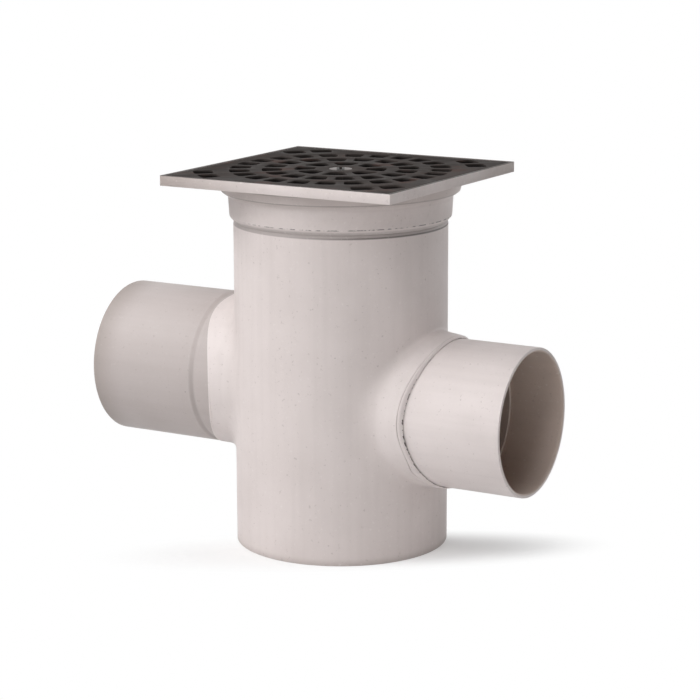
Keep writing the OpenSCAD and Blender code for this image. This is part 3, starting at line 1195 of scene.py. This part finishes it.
@dataclass(frozen=True)
class DipBend:
    """The bend inside the pot that holds the water seal."""

    layout: Layout
    wall: float = 2.4 * MM
    throat: float = 3.2 * MM
    gap: float = 0.05 * MM
    steps: int = 28
    facets: int = 128

    def skin(self, bm: Mesh, radius: float) -> None:
        """Draws the bend's outer skin: level run, turn and dip.

        Args:
            bm: The mesh that receives it.
            radius: Radius of the skin.
        """
        lay = self.layout
        bend_r = lay.pipe_bore_r + self.throat
        turn_x = lay.bend_low_x + lay.pipe_bore_r + bend_r
        upright = Matrix.Rotation(radians(90), 4, "Y")
        rim = Matrix.Translation((lay.bend_rim_x, 0, lay.outlet_z)) @ upright
        ring = bmesh.ops.create_circle(bm, segments=self.facets, radius=radius, matrix=rim)
        edges = list({e for v in ring["verts"] for e in v.link_edges})

        def drawn_on(front: list[Edge], step: Vector) -> list[Edge]:
            """Draws a ring of edges on by a step.

            Args:
                front: The ring.
                step: How far it is drawn.

            Returns:
                The ring at the new end.
            """
            made = bmesh.ops.extrude_edge_only(bm, edges=front)["geom"]
            ends = {g for g in made if isinstance(g, Vert)}
            bmesh.ops.translate(bm, vec=step, verts=list(ends))
            return [g for g in made if isinstance(g, Edge) and ends.issuperset(g.verts)]

        edges = drawn_on(edges, Vector((turn_x - lay.bend_rim_x, 0, 0)))
        turned_part = bmesh.ops.spin(
            bm,
            geom=edges + list({v for e in edges for v in e.verts}),
            cent=(turn_x, 0, lay.outlet_z - bend_r),
            axis=(0, 1, 0),
            angle=-pi / 2,
            steps=self.steps,
            use_duplicate=False,
        )
        last = [g for g in turned_part["geom_last"] if isinstance(g, Edge)]
        drop = lay.bend_low_z - (lay.outlet_z - bend_r)
        drawn_on(last, Vector((0, 0, drop)))

    def build(self) -> Piece:
        """Builds the bend, walled inwards from its outer skin.

        Returns:
            The bend.
        """
        bm = bmesh.new()
        self.skin(bm, self.layout.pipe_bore_r - self.gap)
        closed(bm)
        bmesh.ops.solidify(bm, geom=bm.faces[:], thickness=self.wall)
        bmesh.ops.recalc_face_normals(bm, faces=bm.faces)
        return as_piece(bm, "trap_bend")

    def make(self) -> None:
        """Builds and dresses the bend, with its rim lighter from use."""
        rim_x = self.layout.bend_rim_x
        wear_and_highlight = AxisTint("X", rim_x - 0.15 * MM, rim_x - 0.05 * MM, 1.0, (0.86, 0.78, 0.72))
        bend_pvc = PvcFinish("bend_pvc", (0.56, 0.47, 0.42), (wear_and_highlight,)).material()
        settle(self.build(), Slot.BEND, bend_pvc, "dip_bend")


@dataclass(frozen=True)
class TopFrame:
    """The square frame: plate, pan, neck with its spigot, and the bridge."""

    layout: Layout
    plate_t: float = 7.5 * MM
    corner: float = 0.5 * MM
    worn_corner: float = 1.6 * MM
    rim_w: float = 2.2 * MM
    shelf_w: float = 4.0 * MM
    pan_drop: float = 1.4 * MM
    spigot_len: float = 28.0 * MM
    spigot_gap: float = 0.1 * MM
    seat_gap: float = 0.02 * MM
    neck_proud: float = 2.8 * MM
    draft: float = 0.9 * MM
    neck_wall: float = 4.0 * MM
    groove_h: float = 0.06 * MM
    groove_deep: float = 3.0 * MM
    chamfer_h: float = 3.5 * MM
    step_proud: float = 5.2 * MM
    step_slant: float = 2.0 * MM
    step_h: float = 7.7 * MM
    step_sweep: float = 3.4 * MM
    funnel_w: float = 7.0 * MM
    funnel_h: float = 9.0 * MM
    hole_w: float = 0.6 * MM
    bar_w: float = 8.0 * MM
    bar_h: float = 12.0 * MM
    boss_r: float = 8.0 * MM
    outer_ease: float = 0.45 * MM
    bridge_ease: float = 0.5 * MM

    @property
    def plate_z(self) -> float:
        """Height of the plate's underside."""
        return self.layout.top_z - self.plate_t

    @property
    def pan_z(self) -> float:
        """Height of the pan's floor."""
        return self.layout.grate_low_z - self.pan_drop

    @property
    def step_z(self) -> float:
        """Height of the step's lower edge."""
        return self.plate_z - self.step_h

    @property
    def neck_r(self) -> float:
        """Outer radius of the neck."""
        return self.layout.body_r + self.neck_proud

    @property
    def bore_r(self) -> float:
        """Inner radius of the neck."""
        return self.neck_r - self.neck_wall

    def sink_pan(self, bm: Mesh) -> Face:
        """Sinks the recess and the pan into a block's top.

        Args:
            bm: The mesh of the block.

        Returns:
            The pan's floor.
        """
        face = max(bm.faces, key=lambda f: f.calc_center_median().z)
        recess = self.layout.top_z - self.layout.grate_low_z
        for width, drop in ((self.rim_w, recess), (self.shelf_w, self.pan_drop)):
            bmesh.ops.inset_region(bm, faces=[face], thickness=width, use_even_offset=True)
            made = bmesh.ops.extrude_face_region(bm, geom=[face])
            bmesh.ops.delete(bm, geom=[face], context="FACES_ONLY")
            face = next(g for g in made["geom"] if isinstance(g, Face))
            bmesh.ops.translate(bm, vec=(0, 0, -drop), verts=face.verts)
        return face

    def pierce(self, bm: Mesh, flats: Sequence[Face]) -> None:
        """Cuts the neck's round hole through a floor and an underside.

        Args:
            bm: The mesh of the plate.
            flats: The floor and the underside.
        """
        for flat in flats:
            place = Matrix.Translation((0, 0, flat.calc_center_median().z))
            loop = list(flat.edges)
            bmesh.ops.delete(bm, geom=[flat], context="FACES_ONLY")
            hole_r = self.bore_r + self.funnel_w + self.hole_w
            ring = bmesh.ops.create_circle(bm, segments=96, radius=hole_r, matrix=place)
            hole = list({e for v in ring["verts"] for e in v.link_edges})
            bmesh.ops.triangle_fill(bm, use_beauty=True, edges=loop + hole)
        bmesh.ops.bridge_loops(bm, edges=[e for e in bm.edges if e.is_boundary])
        bmesh.ops.recalc_face_normals(bm, faces=bm.faces)

    def ease_outside(self, bm: Mesh) -> None:
        """Rounds the plate's corners, one of them rounded more by use, and its outer edges.

        Args:
            bm: The mesh of the plate.
        """
        half = self.layout.half_side - 0.01 * MM
        at_corners = edges_where(bm, lambda v: min(abs(v.co.x), abs(v.co.y)) > half)
        corners = [e for e in at_corners if abs(e.verts[0].co.z - e.verts[1].co.z) > 1 * MM]
        wear_and_highlight = max(corners, key=lambda e: sum(v.co.x + v.co.y for v in e.verts))
        ease(bm, [wear_and_highlight], self.worn_corner, 6)
        ease(bm, [e for e in corners if e.is_valid and e != wear_and_highlight], self.corner, 4)
        outer = [
            e
            for e in sharp_edges(bm, 60)
            if all(max(abs(v.co.x), abs(v.co.y)) > half - self.rim_w for v in e.verts)
        ]
        ease(bm, outer, self.outer_ease)

    def plate(self) -> Piece:
        """Builds the plate with the recess for the grate and the pan below.

        Returns:
            The plate.
        """
        side = 2 * self.layout.half_side
        bm = bmesh.new()
        add_block(bm, (self.plate_z + self.layout.top_z) / 2, (side, side, self.plate_t))
        floor = self.sink_pan(bm)
        under = min(bm.faces, key=lambda f: f.calc_center_median().z)
        self.pierce(bm, (floor, under))
        self.ease_outside(bm)
        return as_piece(bm, "frame_plate", 40)

    def neck(self) -> Piece:
        """Turns the neck with its step, its groove, its spigot and its bore.

        Returns:
            The neck.
        """
        lay = self.layout
        neck_r, bore_r, step_z = self.neck_r, self.bore_r, self.step_z
        step_r = neck_r + self.draft + self.step_proud
        low = lay.body_h - self.spigot_len
        foot_z = lay.body_h + self.groove_h
        seat_z = lay.body_h + self.seat_gap
        groove_r = lay.body_r - self.groove_deep
        spigot_r, spigot_bore_r = lay.bore_r - self.spigot_gap, lay.bore_r - self.neck_wall
        outline = rounded_outline(
            [
                (spigot_r, low, 0.6 * MM),
                (spigot_r, seat_z, 0.0),
                (groove_r, seat_z, 0.0),
                (groove_r, foot_z, 0.0),
                (lay.body_r - 0.4 * MM, foot_z, 0.2 * MM),
                (neck_r, foot_z + self.chamfer_h, 2.8 * MM),
                (neck_r + self.draft, step_z - self.step_sweep, 2.6 * MM),
                (step_r, step_z + 0.2 * MM, 1.4 * MM),
                (step_r + self.step_slant, self.plate_z + 0.5 * MM, 0.0),
                (bore_r + self.funnel_w, self.pan_z - 0.02 * MM, 0.8 * MM),
                (bore_r, self.pan_z - self.funnel_h, 2.0 * MM),
                (bore_r, lay.body_h + 4.0 * MM, 1.0 * MM),
                (spigot_bore_r, lay.body_h, 1.0 * MM),
                (spigot_bore_r, low, 0.6 * MM),
            ],
            5,
        )
        return as_piece(turned(outline, 192), "frame_neck", 30)

    def bridge(self) -> Piece:
        """Builds the bar across the neck and the boss for the screw.

        Returns:
            The bar and the boss.
        """
        bar_z = self.pan_z - self.funnel_h - self.bar_h
        bm = bmesh.new()
        length = 2 * (self.bore_r + 1 * MM)
        add_block(bm, bar_z + self.bar_h / 2, (self.bar_w, length, self.bar_h))
        boss_h = self.layout.grate_low_z - bar_z
        bmesh.ops.create_cone(
            bm,
            cap_ends=True,
            segments=64,
            radius1=self.boss_r,
            radius2=self.boss_r,
            depth=boss_h,
            matrix=Matrix.Translation((0, 0, bar_z + boss_h / 2)),
        )
        ease(bm, sharp_edges(bm, 60), self.bridge_ease)
        return as_piece(bm, "frame_bridge")

    def plate_finish(self) -> Material:
        """The plate's plastic, with painted shade towards -X and +Y, and dirt along its top edge.
        """
        overlays = (
            # Painted shade: darker towards -X and towards +Y.
            AxisTint("X", 12 * MM, -115 * MM, 0.75),
            AxisTint("Y", -50 * MM, 120 * MM, 0.65),
            Seam(self.layout.top_z, 0.12 * MM, 0.10 * MM, 1.0),
        )
        return PvcFinish("frame_pvc", (0.735, 0.660, 0.643), overlays).material()

    def neck_finish(self) -> Material:
        """Makes the neck's plastic, with painted shade under its plate and its step, cement round
        its foot, and darker at its foot and inside its bore.

        Returns:
            The new material.
        """
        foot_z, bore_dark_r = self.layout.body_h, self.layout.body_r - 1.0 * MM
        cement_z = foot_z + 4.1 * MM
        overlays = (
            # Painted shade below the step and under the plate.
            AxisTint("Z", self.step_z - 6.3 * MM, self.step_z - 0.8 * MM, 0.32),
            Seam(self.step_z, 0.2 * MM, 0.6 * MM, 0.35),
            Seam(self.plate_z - 0.8 * MM, 0.6 * MM, 0.8 * MM, 0.30),
            Seam(cement_z, 0.2 * MM, 0.3 * MM, 0.7, -60 * MM, 10 * MM, broken=True),
            # Darker in a band at the foot, and near black inside the bore.
            Seam(foot_z + 0.5 * MM, 0.8 * MM, 2.0 * MM, 0.25),
            Zone(ROUND_Z, bore_dark_r, bore_dark_r - 1.0 * MM, DIRT_AND_SHADE),
        )
        # The neck's plastic is painted darker than the pot's, as painted shade.
        return PvcFinish("neck_pvc", (0.725, 0.652, 0.634), overlays).material()

    def make(self) -> None:
        """Builds and dresses the frame."""
        settle(self.plate(), Slot.PVC, self.plate_finish(), "frame")
        neck_pvc = self.neck_finish()
        for piece in (self.neck(), self.bridge()):
            settle(piece, Slot.PVC, neck_pvc, "frame")


@dataclass(frozen=True)
class Grate:
    """The slotted grate and its screw, with the sharp edges of the solids eased."""

    layout: Layout
    grate_edge: float = 0.45 * MM
    screw_edge: float = 0.25 * MM

    def eased(self, node: str, name: str, width: float) -> Piece:
        """Copies a solid, merges its triangles and eases its edges.

        Args:
            node: The solid's node.
            name: The new piece's name.
            width: Width of the easing.

        Returns:
            The new piece.
        """
        bm = bmesh.new()
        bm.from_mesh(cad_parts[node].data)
        bmesh.ops.remove_doubles(bm, verts=bm.verts, dist=2e-6)
        bmesh.ops.dissolve_limit(bm, angle_limit=radians(1), verts=bm.verts, edges=bm.edges)
        ease(bm, sharp_edges(bm, 50), width)
        bmesh.ops.triangulate(bm, faces=bm.faces)
        return as_piece(bm, name, 40)

    def make(self) -> None:
        """Builds and dresses the grate and its screw."""
        dark = DarkPlasticFinish(self.layout.grate_top_z).material()
        grate = self.eased("grate", "slotted_grate", self.grate_edge)
        settle(grate, Slot.GRATE, dark, "grate")
        screw = self.eased("grate_screw", "slotted_screw", self.screw_edge)
        settle(screw, Slot.STEEL, SteelFinish().material(), "grate_screw")


@dataclass(frozen=True)
class BaseDisc:
    """The disc that closes the foot. Its solid is kept."""

    layout: Layout
    grimed_h: float = 10.0 * MM

    def make(self) -> None:
        """Dresses the disc."""
        base_pvc = PvcFinish("base_pvc", overlays=(AxisTint("Z", self.grimed_h, 0.0, 0.6),))
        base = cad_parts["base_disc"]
        base.data.materials.clear()
        base.data.materials.append(base_pvc.material())


# ---- The studio ----


@dataclass(frozen=True)
class Lamp:
    """A soft rectangular lamp aimed at the part."""

    name: str
    azimuth: float
    elevation: float
    distance: float
    size: float
    power: float

    def hang(self, aim: Vector) -> None:
        """Hangs the lamp.

        Args:
            aim: The point that it is aimed at.
        """
        turn, rise = radians(self.azimuth), radians(self.elevation)
        level = cos(rise)
        away = Vector((cos(turn) * level, sin(turn) * level, sin(rise)))
        data = bpy.data.lights.new(self.name, "AREA")
        data.shape = "SQUARE"
        data.size = self.size
        data.energy = self.power
        lamp = linked(self.name, data)
        lamp.location = aim + away * self.distance
        lamp.rotation_euler = away.to_track_quat("Z", "Y").to_euler()


LAMPS = (
    Lamp("key", -89.4, 40.0, 2.2, 1.2, 18.5),
    Lamp("left", -149.4, 40.0, 2.2, 1.2, 25.6),
    Lamp("front", -69.4, 8.0, 1.1, 0.6, 1.6),
    Lamp("top", -59.4, 80.0, 1.1, 0.6, 2.5),
    Lamp("right", 30.6, 8.0, 2.2, 1.2, 6.8),
    Lamp("back", 70.6, 8.0, 2.2, 1.2, 8.4),
)


@dataclass(frozen=True)
class Studio:
    """Floor, daylight, lamps and camera."""

    daylight: float = 0.0
    floor_half: float = 12.0
    floor_glow: float = 0.17
    shadow_at: Pair = (0.0275, -0.0315)
    shadow_turn: float = 35.2
    shadow_half: Pair = (0.178, 0.048)
    shadow_fade: Pair = (0.35, 1.15)
    floor_colour: Triple = (0.80, 0.80, 0.80)
    lens: float = 121.578
    sensor: float = 36.0
    camera_at: Triple = (0.8840, -1.4972, 0.5211)
    pitch: float = 12.208
    yaw: float = -30.345
    roll: float = -0.184

    def camera(self) -> None:
        """Sets the camera."""
        data = bpy.data.cameras.new("camera")
        data.lens = self.lens
        data.sensor_width = self.sensor
        data.clip_start = 0.05
        data.clip_end = 50.0
        camera = linked("camera", data)
        turn = (
            Matrix.Rotation(radians(-self.yaw), 4, "Z")
            @ Matrix.Rotation(radians(90 - self.pitch), 4, "X")
            @ Matrix.Rotation(radians(self.roll), 4, "Z")
        )
        camera.matrix_world = Matrix.Translation(self.camera_at) @ turn
        bpy.context.scene.camera = camera

    def world(self) -> None:
        """Makes a white surround, with the daylight that it gives."""
        world = bpy.data.worlds.new("surround")
        bpy.context.scene.world = world
        graph = Graph(world)
        light, white = (
            graph.add("Background", {"Color": (1.0, 1.0, 1.0, 1.0), "Strength": level}).outputs[0]
            for level in (self.daylight, 1.0)
        )
        graph.add("OutputWorld", {"Surface": graph.mixed(graph.seen_directly(), light, white)})

    def floor(self) -> None:
        """Lays a pale floor that shows the part's shadow and fades to white round it."""
        bm = bmesh.new()
        bmesh.ops.create_grid(bm, x_segments=1, y_segments=1, size=self.floor_half)
        floor = as_piece(bm, "floor")
        material = bpy.data.materials.new("floor")
        graph = Graph(material)
        seen = graph.seen_directly()
        matt = graph.add("BsdfDiffuse", {"Color": (*self.floor_colour, 1.0)}).outputs[0]
        glow = graph.add("Emission", {"Strength": graph.math("MULTIPLY", seen, self.floor_glow)})
        lit = graph.add("AddShader", {0: matt, 1: glow.outputs[0]}).outputs[0]
        place = {
            "Vector": graph.add("TexCoord").outputs["Object"],
            "Location": (*self.shadow_at, 0.0),
            "Rotation": (0.0, 0.0, radians(self.shadow_turn)),
            "Scale": (*self.shadow_half, 1.0),
        }
        zone = graph.add("Mapping", place, vector_type="TEXTURE").outputs[0]
        far = graph.math("MULTIPLY", graph.ramp(graph.length(zone), *self.shadow_fade), seen)
        whole = graph.mixed(far, lit, graph.add("Emission").outputs[0])
        graph.add("OutputMaterial", {"Surface": whole})
        floor.data.materials.append(material)

    def build(self, aim: Vector) -> None:
        """Builds the whole studio.

        Args:
            aim: The point that the lamps are aimed at.
        """
        self.camera()
        self.world()
        self.floor()
        for lamp in LAMPS:
            lamp.hang(aim)
        bpy.context.scene.view_settings.view_transform = "Standard"


def main() -> None:
    """Builds and dresses the part in its studio."""
    logging.basicConfig(level=logging.INFO, format="%(name)s %(message)s")
    layout = Layout()
    Studio().build(Vector((0, 0, layout.top_z / 2)))
    for assembly in (Pot, SidePipes, DipBend, TopFrame, Grate, BaseDisc):
        assembly(layout).make()
        log.info("%s made", assembly.__name__)


if __name__ == "__main__":
    main()
